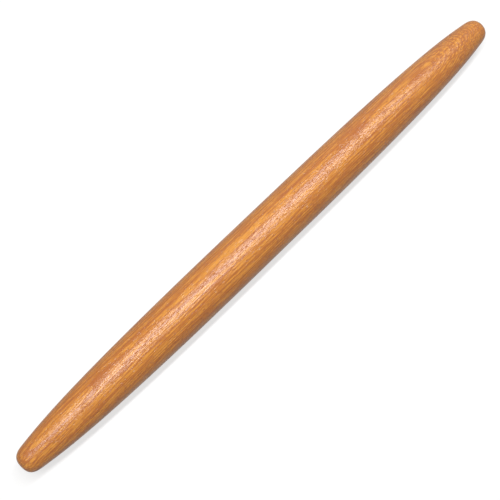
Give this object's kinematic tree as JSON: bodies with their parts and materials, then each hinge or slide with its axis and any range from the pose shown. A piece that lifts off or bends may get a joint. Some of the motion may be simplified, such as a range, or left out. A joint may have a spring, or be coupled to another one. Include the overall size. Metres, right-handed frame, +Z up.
{
  "type": "french rolling pin",
  "caption": "Plain tapered rolling pin turned from one rod of beech, thickest at a short straight belly and rounded at both tips, with no handles.",
  "frame": {"origin": "middle of the pin on its turning axis, which is also the centre of its bounding box", "axes": "+X along the turning axis towards one tip, +Z up when the pin lies on a worktop, +Y across it"},
  "size_m": [0.508, 0.038, 0.0381],
  "materials": {
    "beech": "turned and sanded steamed beech, sealed with a thin clear satin coat"
  },
  "bodies": {
    "root": {"rolling_pin": "beech"}
  },
  "joints": []
}
